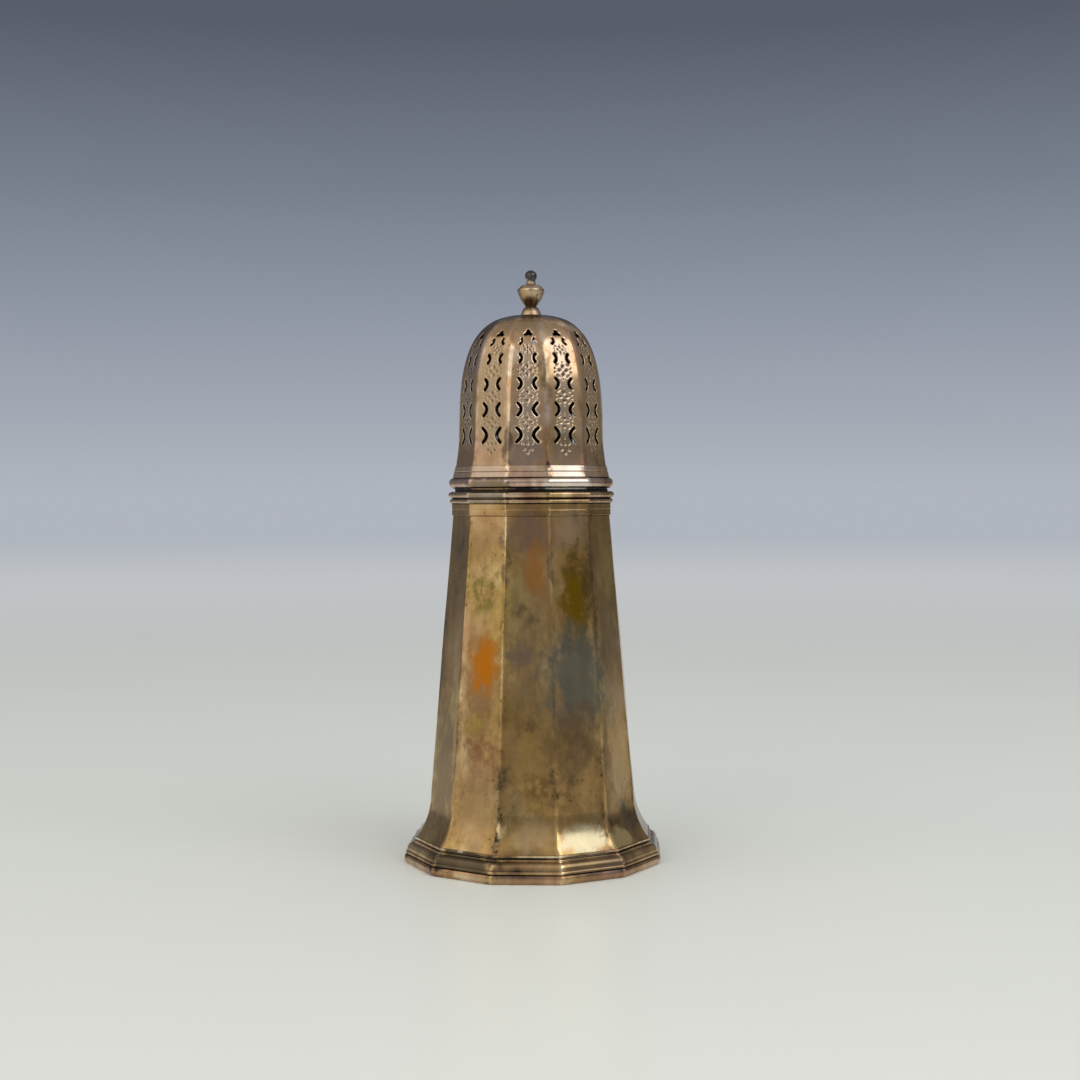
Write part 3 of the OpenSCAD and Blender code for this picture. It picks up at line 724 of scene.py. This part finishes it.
holes = []
row_s = [level(DOME_Z + FIRST_ROW_H + PITCH * row) for row in range(SLOT_ROWS)]
for row, s in enumerate(row_s):
    tip = by_row(row, ROW_W) / 2
    slot = slot_outline(by_row(row, SLOT_L), tip - SLOT_WAIST / 2, by_row(row, SLOT_W))
    holes += both_sides(slot, tip, s)
bud_s = level(CROWN_Z - BUD_DROP)
bud = turned(slot_outline(BUD_L, 0.6 * BUD_SLOT_W, BUD_SLOT_W, 6), BUD_LEAN)
holes += both_sides(bud, BUD_W / 2, bud_s)
lobes = np.linspace(0, 2 * math.pi, 25)[:-1]
lobe_r = TREFOIL_R * (1 + TREFOIL_LOBE * np.cos(3 * (lobes - math.pi / 2)))
trefoil = np.stack((lobe_r * np.cos(lobes), lobe_r * np.sin(lobes)), 1)
holes.append(trefoil + (0, level(CROWN_Z - TREFOIL_DROP)))

# Engraving between the piercings: (x, s, half length, half width, angle, depth) of each cut
CUT_D, LEAF_D = 0.2, 0.17
OUTER_LEAF, INNER_LEAF = math.radians(-38), math.radians(40)
cuts = []
for low, high in zip(row_s, row_s[1:] + [bud_s]):
    mid = (low + high) / 2
    size = (high - low) / PITCH
    for angle, away, long, wide in (
        (90, 1.1, 1.05, 0.78), (-90, 1.1, 1.05, 0.78), (0, 1.0, 0.95, 0.72), (180, 1.0, 0.95, 0.72),
        (90, 2.35, 0.3, 0.3), (-90, 2.35, 0.3, 0.3),
    ):
        t = math.radians(angle)
        x, s = size * away * math.cos(t), mid + size * away * math.sin(t)
        cuts.append((x, s, size * long, size * wide, t, CUT_D))
    for sx in (-1, 1):
        for sy in (-1, 1):
            x, s = sx * size, sy * size
            cuts.append((1.6 * x, mid + 1.5 * s, size, 0.48, sx * sy * OUTER_LEAF, LEAF_D))
            cuts.append((2.3 * x, mid + 0.5 * s, 0.6 * size, 0.42, sx * sy * INNER_LEAF, LEAF_D))
drop_s = row_s[0] - SLOT_L[0] / 2
for x, s, long, wide, angle in (
    (0, -2.3, 0.85, 0.52, 90), (-1.0, -1.5, 0.75, 0.46, 35), (1.0, -1.5, 0.75, 0.46, 145),
    (0, 0.1, 0.8, 0.44, 90), (-1.35, 0.2, 0.85, 0.38, 125), (1.35, 0.2, 0.85, 0.38, 55),
    (0, 1.6, 0.34, 0.34, 0),
):
    cuts.append((x, drop_s + s, long, wide, math.radians(angle), CUT_D))


def hole_distance(points):
    """Distance of each point to the nearest edge of a hole."""
    best = np.full(len(points), 1e9)
    for loop in holes:
        for p, q in zip(loop, np.roll(loop, -1, 0)):
            d = q - p
            t = np.clip(((points - p) @ d) / (d @ d), 0, 1)
            best = np.minimum(best, np.hypot(*(points - p - t[:, None] * d).T))
    return best


def in_holes(points):
    """Whether each point lies in a hole."""
    found = np.zeros(len(points), bool)
    for loop in holes:
        odd = np.zeros(len(points), bool)
        for (x0, y0), (x1, y1) in zip(loop, np.roll(loop, -1, 0)):
            if y0 != y1:
                crosses = (points[:, 1] < y0) != (points[:, 1] < y1)
                odd ^= crosses & (points[:, 0] < x0 + (points[:, 1] - y0) * (x1 - x0) / (y1 - y0))
        found |= odd
    return found


def grown(loop, by):
    """The loop moved outward by a length."""
    edge = np.roll(loop, -1, 0) - loop
    normal = np.stack((edge[:, 1], -edge[:, 0]), 1) / np.hypot(*edge.T)[:, None]
    both = normal + np.roll(normal, 1, 0)
    both /= np.hypot(*both.T)[:, None]
    area = np.sum(loop[:, 0] * np.roll(loop[:, 1], -1) - loop[:, 1] * np.roll(loop[:, 0], -1))
    return loop + both * by * np.sign(area)


# Width and depth of the rubbed bevels, and the engraved stretch, which has the finer mesh
RIM_BEVEL, BEVEL_D = 0.17, 0.1
STRIP, BELOW_DROP, ABOVE_BUD, FINE_PITCH, ROW_PITCH = 3.3, 3.4, 3.6, 0.22, 0.9
FINE_CLEAR, COARSE_CLEAR, SIDE_CLEAR = RIM_BEVEL + 0.13, 0.35, 0.35
HAND_SHIFT = 0.14
sides_s = np.concatenate((np.arange(0, S_CROWN - 0.5, 0.75), np.linspace(S_CROWN - 0.4, S_END, 6)))


def engraved(s):
    """Whether the length s lies in the engraved stretch of a panel."""
    return drop_s - BELOW_DROP < s < bud_s + ABOVE_BUD


def panel_mesh(fine):
    """Triangles of one flattened panel with its holes: points (x, s) and faces."""
    points, edges = [], []

    def chain(loop):
        start = len(points)
        points.extend(map(tuple, loop))
        edges.extend((start + i, start + (i + 1) % len(loop)) for i in range(len(loop)))

    w = half_width(sides_s)
    foot = np.linspace(-1, 1, 13)[1:-1] * w[0]
    top = np.linspace(-1, 1, 4)[1:-1] * w[-1]
    chain(
        [*zip(w, sides_s), *((x, S_END) for x in top[::-1]),
         *zip(-w[::-1], sides_s[::-1]), *((x, 0) for x in foot)]
    )
    for loop in holes:
        chain(loop)
        if fine:
            chain(grown(loop, RIM_BEVEL))
    grid = []
    for i, s in enumerate(np.arange(0.5, S_CROWN, FINE_PITCH)):
        if fine and engraved(s):
            reach = half_width(s) - SIDE_CLEAR
            row = np.arange(-reach + 0.5 * FINE_PITCH * (i % 2), reach, FINE_PITCH)
            grid.extend((x, s) for x in row if abs(x) < STRIP)
    for s in np.arange(0.7, S_CROWN, ROW_PITCH):
        a, _, soft = section_at(s)
        flat = (a - soft) * TAN
        reach = half_width(s)
        stops = [flat, flat + (reach - flat) / 3, flat + (reach - flat) * 2 / 3, flat * 0.86]
        grid.extend((sign * x, s) for x in stops for sign in (-1, 1) if x > (STRIP if fine else 0.5))
        if not (fine and engraved(s)):
            grid.extend((x, s) for x in np.linspace(-0.7, 0.7, 5) * flat)
    grid = np.array(grid)
    clear = (hole_distance(grid) > (FINE_CLEAR if fine else COARSE_CLEAR)) & ~in_holes(grid)
    points.extend(map(tuple, grid[clear]))
    flat_points, _, tris, *_ = delaunay_2d_cdt([Vector(p) for p in points], edges, [], 1, 1e-5)
    flat_points = np.array([tuple(p) for p in flat_points])
    tris = np.array(tris)
    keep = ~in_holes(flat_points[tris].mean(1))
    return flat_points, tris[keep]


def on_dome(points, k, depth):
    """Places flattened points of panel k, depth below the outer face."""
    x, s = points.T
    a, z, soft = section_at(s)
    rise = 0.05
    a2, z2, _ = section_at(s + rise)
    a1, z1, _ = section_at(s - rise)
    da, dz = a2 - a1, z2 - z1
    size = np.maximum(np.hypot(da, dz), 1e-9)
    na, nz = dz / size, -da / size
    flat = (a - soft) * TAN
    over = np.clip(np.abs(x) - flat, 0, None) / soft
    side = np.sign(x) * (np.minimum(np.abs(x), flat) + soft * np.sin(over))
    r = a - soft * (1 - np.cos(over))
    turn = np.full(len(x), 2 * HALF * k - math.pi / 2)
    lean = turn + np.sign(x) * over
    px = r * np.cos(turn) - side * np.sin(turn) - depth * na * np.cos(lean)
    py = r * np.sin(turn) + side * np.cos(turn) - depth * na * np.sin(lean)
    return np.stack((px, py, z - depth * nz), 1)


def relief(points):
    """Depth of the engraving and of the rubbed rims of the piercings."""
    deep = np.zeros(len(points))
    for x, s, long, wide, angle, depth in cuts:
        away = points - (x, s)
        u = (away[:, 0] * math.cos(angle) + away[:, 1] * math.sin(angle)) / long
        v = (-away[:, 0] * math.sin(angle) + away[:, 1] * math.cos(angle)) / wide
        deep = np.maximum(deep, depth * step(0, 1, 1 - np.hypot(u, v)))
    from_hole = hole_distance(points)
    bevel = BEVEL_D * np.clip(1 - from_hole / RIM_BEVEL, 0, 1)
    return deep * step(RIM_BEVEL, RIM_BEVEL + 0.25, from_hole), bevel


def border_edges(tris):
    """Edges with one face, in the direction of that face."""
    seen = dict.fromkeys(e for a, b, c in tris.tolist() for e in ((a, b), (b, c), (c, a)))
    return [e for e in seen if (e[1], e[0]) not in seen]


def wander(points, k):
    """Small uneven shifts of the hand-cut work on panel k, none at the panel's border."""
    still = step(0, 1.2, half_width(points[:, 1]) - np.abs(points[:, 0]))
    still = still * step(0, 2, points[:, 1]) * step(0, 2, S_CROWN - points[:, 1])
    moves = np.array(
        [tuple(noise.noise_vector(Vector((x / 4 + 17 * k, s / 4, 3.1 * k))))[:2] for x, s in points]
    )
    return points + HAND_SHIFT * still[:, None] * moves


def key_of(point):
    return tuple(np.round(point, 4))


def on_side(p, q):
    """Whether the edge between two flattened points runs along a panel's arris."""
    return all(abs(abs(v[0]) - half_width(v[1])) < 1e-3 for v in (p, q)) and abs(p[1] - q[1]) > 1e-6


outer_flat, outer_tris = panel_mesh(True)
inner_flat, inner_tris = panel_mesh(False)
deep, bevel = relief(outer_flat)
inner_key = {key_of(p): i for i, p in enumerate(inner_flat)}

# Marks of a panel: the arris with the rims, the metal near it, the engraving, and the metal round that
across, along = np.abs(outer_flat[:, 0]), outer_flat[:, 1]
a_flat, _, soft_flat = section_at(along)
arris_mark = step(-0.5, 0.6, across - (a_flat - soft_flat) * TAN)
in_rows = step(drop_s - BELOW_DROP, drop_s + 2.5, along) * (1 - step(bud_s - 3, bud_s + 2, along))
panel_marks = {
    "arris": np.maximum(arris_mark, 0.5 * bevel / BEVEL_D),
    "near": 1 - step(0.3, 1.6, half_width(along) - across),
    "cut": (deep / CUT_D) ** 1.5,
    "chased": in_rows * (1 - step(1.5, 3.4, across)),
}

# Edges of the sheet at its holes, its foot and its crown, each with the same two points of the inner face
rims = []
for i, j in border_edges(outer_tris):
    p, q = outer_flat[i], outer_flat[j]
    if not on_side(p, q):
        rims.append((j, i, inner_key[key_of(p)], inner_key[key_of(q)]))

# The twelve panels, joined where their points meet
verts, faces = [], []
for k in range(PANELS):
    base = k * (len(outer_flat) + len(inner_flat))
    inner_base = base + len(outer_flat)
    verts += [
        on_dome(wander(outer_flat, k), k, deep + bevel),
        on_dome(wander(inner_flat, k), k, DOME_T),
    ]
    faces += (outer_tris + base).tolist()
    faces += (inner_tris[:, ::-1] + inner_base).tolist()
    faces += [(j + base, i + base, m + inner_base, n + inner_base) for j, i, m, n in rims]
verts = np.vstack(verts)
_, first, back = np.unique(np.round(verts, 3), axis=0, return_index=True, return_inverse=True)
back = back.reshape(-1)
inner_mark = np.zeros(len(inner_flat))
piece(
    "cover_dome_silver", verts[first], [[back[i] for i in f] for f in faces], [DOME, HOLE],
    "cover", "cover_dome",
    {key: np.tile(np.concatenate((mark, inner_mark)), PANELS)[first] for key, mark in panel_marks.items()},
    ([0] * len(outer_tris) + [1] * (len(inner_tris) + len(rims))) * PANELS, sharp=34,
)


# Finial: turned in one piece with its tenon
TURNED_WAVE_L = 2.2


def turned_piece(name, profile, mat, body, node, count=56, wave=0.0):
    """A closed profile (r, z) from axis to axis, turned round the axis."""
    angles = np.linspace(0, 2 * math.pi, count, endpoint=False)
    verts, faces, rows = [], [], []
    for r, z in profile:
        if r < 1e-6:
            rows.append([len(verts)] * count)
            verts.append((0, 0, z))
        else:
            rows.append(list(range(len(verts), len(verts) + count)))
            for t in angles:
                p = Vector((math.cos(t) * r, math.sin(t) * r, z)) / TURNED_WAVE_L
                q = r * (1 + wave * noise.noise(p))
                verts.append((q * math.cos(t), q * math.sin(t), z))
    for low, high in zip(rows, rows[1:]):
        for i in range(count):
            j = (i + 1) % count
            f = list(dict.fromkeys((low[i], low[j], high[j], high[i])))
            if len(f) > 2:
                faces.append(f)
    piece(name, verts, faces, [mat], body, node)


def arc(r, z, radius, start, end, steps):
    """Points (r, z) of an arc between two angles in degrees."""
    return [
        (r + radius * math.cos(math.radians(t)), z + radius * math.sin(math.radians(t)))
        for t in np.linspace(start, end, steps)
    ]


FOOT_R, FOOT_H, FOOT_ROUND, WAIST_R, URN_R, BOWL_H, URN_ROUND = 3.0, 2.5, 0.55, 1.5, 3.8, 4.5, 1.5
LIP_H, SHOULDER_H, F_NECK_R, F_NECK_H, BALL_R = 0.3, 1.65, 1.3, 1.1, 1.7
TENON_R, WASHER_T, RIVET_R, RIVET_H = 1.2, 0.6, 1.8, 0.5
washer_z = CROWN_Z - DOME_T - WASHER_T
bowl_z = CROWN_Z + FOOT_H
lip_z = bowl_z + BOWL_H
neck_z = lip_z + LIP_H + SHOULDER_H
ball_z = neck_z + F_NECK_H + math.sqrt(BALL_R ** 2 - F_NECK_R ** 2)
ball_from = -math.degrees(math.acos(F_NECK_R / BALL_R))
profile = [
    (0, washer_z - RIVET_H), (RIVET_R - 0.35, washer_z - RIVET_H), (RIVET_R, washer_z - 0.25),
    (RIVET_R, washer_z), (TENON_R, washer_z), (TENON_R, CROWN_Z), (FOOT_R - 0.1, CROWN_Z),
    (FOOT_R, CROWN_Z + EASE),
]
profile += [
    (WAIST_R + (FOOT_R - WAIST_R) * (1 - q) ** FOOT_ROUND, CROWN_Z + FOOT_H * q)
    for q in np.linspace(0.12, 1, 14) ** 0.7
]
profile += [
    (URN_R - (URN_R - WAIST_R) * (1 - q) ** URN_ROUND, bowl_z + BOWL_H * q)
    for q in np.linspace(0, 0.8, 14)[1:]
]
# The widest part is rounded over into the shoulder, which slopes to the neck, a little full in the middle
LIP_R, SHOULDER_FULL = 1.0, 0.17
profile += arc(URN_R - LIP_R, lip_z - 0.05, LIP_R, -32, 60, 9)
shoulder_r, shoulder_from = profile[-1]
profile += [
    (shoulder_r + (F_NECK_R + EASE - shoulder_r) * q + SHOULDER_FULL * math.sin(math.pi * q),
     shoulder_from + (neck_z - 0.08 - shoulder_from) * q + SHOULDER_FULL * math.sin(math.pi * q))
    for q in np.linspace(0.1, 1, 10)
]
profile += [(F_NECK_R + 0.02, neck_z + 0.06), (F_NECK_R, neck_z + 0.5)]
profile += arc(0, ball_z, BALL_R, ball_from, 90, 16)
profile[-1] = (0, profile[-1][1])
turned_piece("finial_silver", profile, FINIAL, "cover", "finial", wave=0.02)

# Inner pieces that keep their solids
for name in ("base_plate", "finial_washer"):
    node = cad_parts[name]
    node.data.materials.clear()
    node.data.materials.append(INNER)

# Stage
CAM_AWAY, CAM_Z, CAM_SIDE = 0.465, 0.1025, 0.00228
CAM_TURN, CAM_ROLL = math.radians(3.2), math.radians(-0.28)
LAMP_AIM = Vector((0, 0, 0.07))
BLACK, HORIZON, ROOM = (0, 0, 0), (0.435, 0.465, 0.515), (0.355, 0.362, 0.375)
AMBIENT, FAR_FLOOR = (0.66, 0.67, 0.69, 1), (0.55, 0.56, 0.57, 1)


def toward(azimuth, elevation):
    """Direction from the object, with azimuth 0 at the camera and positive to the picture's right."""
    a, e = math.radians(azimuth) + CAM_TURN, math.radians(elevation)
    return Vector((math.sin(a) * math.cos(e), -math.cos(a) * math.cos(e), math.sin(e)))


def seen_rays(tree):
    """1 for rays that show the backdrop: from the camera, off gloss and through glass."""
    path = tree.node("ShaderNodeLightPath").outputs
    some = tree.math("MAXIMUM", path["Is Camera Ray"], path["Is Glossy Ray"])
    return tree.math("MAXIMUM", some, path["Is Transmission Ray"])


def room_part(tree, y):
    """Share of the room, against the backdrop, toward a direction with this Y part, and its light there."""
    return tree.span(y, 0.8, 0.5, smooth=True), tree.span(y, 0.6, -0.3, 0.55, 1.0)


world = bpy.data.worlds.new("studio")
bpy.context.scene.world = world
world.use_nodes = True
air = Nodes(world.node_tree)
direction = air.node("ShaderNodeTexCoord").outputs["Generated"]
sky = air.node("ShaderNodeSeparateXYZ", {"Vector": direction}).outputs

# The backdrop darkens upward, by the sine of the elevation. The room on the camera's side has a pale
# ceiling, and is darker to the sides.
backdrop = air.ramp(
    sky["Z"],
    ((0.0, HORIZON), (0.09, (0.305, 0.335, 0.4)), (0.18, (0.185, 0.21, 0.265)), (0.27, (0.098, 0.112, 0.148)),
     (0.48, (0.07, 0.075, 0.09)), (0.95, (0.11, 0.105, 0.1))),
)
room = air.ramp(
    sky["Z"],
    ((0.0, ROOM), (0.12, (0.36, 0.365, 0.37)), (0.27, (0.47, 0.47, 0.465)), (0.55, (0.6, 0.595, 0.58)),
     (0.8, (0.64, 0.63, 0.61)), (0.95, (0.5, 0.49, 0.48)), (1.0, (0.42, 0.415, 0.41))),
)
share, light = room_part(air, sky["Y"])
shown = air.node("ShaderNodeBackground", {"Color": air.mix(share, backdrop, air.mix(light, BLACK, room))})
lit = air.node("ShaderNodeBackground", {"Color": AMBIENT})
both = air.node("ShaderNodeMixShader", {0: seen_rays(air), 1: lit.outputs[0], 2: shown.outputs[0]})
air.fill(air.find("OUTPUT_WORLD"), {"Surface": both.outputs[0]})

# Floor: a wide disc that fades into the backdrop between two distances, and then into its haze
FADE, HAZE = (0.3, 1.4), (0.6, 3.5)
floor_mesh = bpy.data.meshes.new("floor")
spokes = 96
radii = (0.25, 0.6, 1.5, 6.0, 40.0)
turns = [2 * math.pi * i / spokes for i in range(spokes)]
points = [(0, 0, 0)] + [(r * math.cos(t), r * math.sin(t), 0) for r in radii for t in turns]
floor_faces = [(0, 1 + i, 1 + (i + 1) % spokes) for i in range(spokes)]
for a in range(1, (len(radii) - 1) * spokes, spokes):
    for i in range(spokes):
        j = (i + 1) % spokes
        floor_faces.append((a + i, a + spokes + i, a + spokes + j, a + j))
floor_mesh.from_pydata(points, [], floor_faces)
floor = placed("floor", floor_mesh)
mat = bpy.data.materials.new("pale_floor")
mat.use_nodes = True
floor_mesh.materials.append(mat)
ground = Nodes(mat.node_tree)
bsdf = ground.find("BSDF_PRINCIPLED")
place = ground.node("ShaderNodeTexCoord").outputs["Object"]
away = ground.vec("LENGTH", place)
grain = ground.node("ShaderNodeTexNoise", {"Vector": place, "Scale": 14.0, "Detail": 3.0}).outputs["Fac"]
tone = ground.mix(grain, (0.8, 0.81, 0.735), (0.83, 0.835, 0.755))
ground.fill(bsdf, {"Base Color": tone, "Roughness": 0.34, "Specular IOR Level": 0.2})
far, haze = ground.span(away, *FADE, smooth=True), ground.span(away, *HAZE, smooth=True)
behind = ground.node("ShaderNodeSeparateXYZ", {"Vector": place}).outputs["Y"]
share, light = room_part(ground, ground.math("DIVIDE", behind, away))
far_tone = ground.mix(haze, (0.545, 0.56, 0.575), HORIZON)
room_tone = ground.mix(light, BLACK, ground.mix(haze, (0.5, 0.51, 0.52), ROOM))
glow = ground.node("ShaderNodeEmission", {"Color": ground.mix(share, far_tone, room_tone), "Strength": 1.0})
plain = ground.node("ShaderNodeBsdfDiffuse", {"Color": FAR_FLOOR})
distant = ground.node("ShaderNodeMixShader", {0: seen_rays(ground), 1: plain.outputs[0], 2: glow.outputs[0]})
both = ground.node("ShaderNodeMixShader", {0: far, 1: bsdf.outputs[0], 2: distant.outputs[0]})
ground.fill(ground.find("OUTPUT_MATERIAL"), {"Surface": both.outputs[0]})


def softbox(name, azimuth, elevation, away, width, height, radiance, colour=(1, 1, 1)):
    """A soft rectangular lamp that faces the caster. Its brightness is that of its face."""
    data = bpy.data.lights.new(name, "AREA")
    data.shape = "RECTANGLE"
    data.size, data.size_y = width, height
    data.energy = radiance * math.pi * width * height
    data.color = colour
    lamp = placed(name, data)
    lamp.location = LAMP_AIM + toward(azimuth, elevation) * away
    lamp.rotation_euler = toward(azimuth, elevation).to_track_quat("Z", "Y").to_euler()
    lamp.visible_camera = False


softbox("left_softbox", -66, 24, 1.1, 1.0, 1.27, 0.48, (1.0, 0.965, 0.9))
softbox("strip_softbox", -30, 28, 1.1, 0.5, 1.05, 1.0, (1.0, 0.98, 0.94))
softbox("right_softbox", 47, 39, 1.1, 0.88, 0.65, 1.85, (0.98, 1.0, 1.04))
softbox("back_softbox", 170, 48, 1.2, 1.0, 0.6, 0.25)

camera = placed("camera", bpy.data.cameras.new("camera"))
camera.data.lens = 54.97
camera.data.sensor_width = 36.0
camera.data.shift_y = -0.0443
ahead, beside = toward(0, 0), Vector((math.cos(CAM_TURN), math.sin(CAM_TURN), 0))
camera.location = ahead * CAM_AWAY + Vector((0, 0, CAM_Z))
aim = beside * CAM_SIDE + Vector((0, 0, CAM_Z))
camera.rotation_mode = "QUATERNION"
level_look = (aim - camera.location).to_track_quat("-Z", "Y")
camera.rotation_quaternion = level_look @ Quaternion((0, 0, 1), CAM_ROLL)
camera.data.clip_start, camera.data.clip_end = 0.01, 100.0
bpy.context.scene.camera = camera
bpy.context.scene.view_settings.view_transform = "Standard"
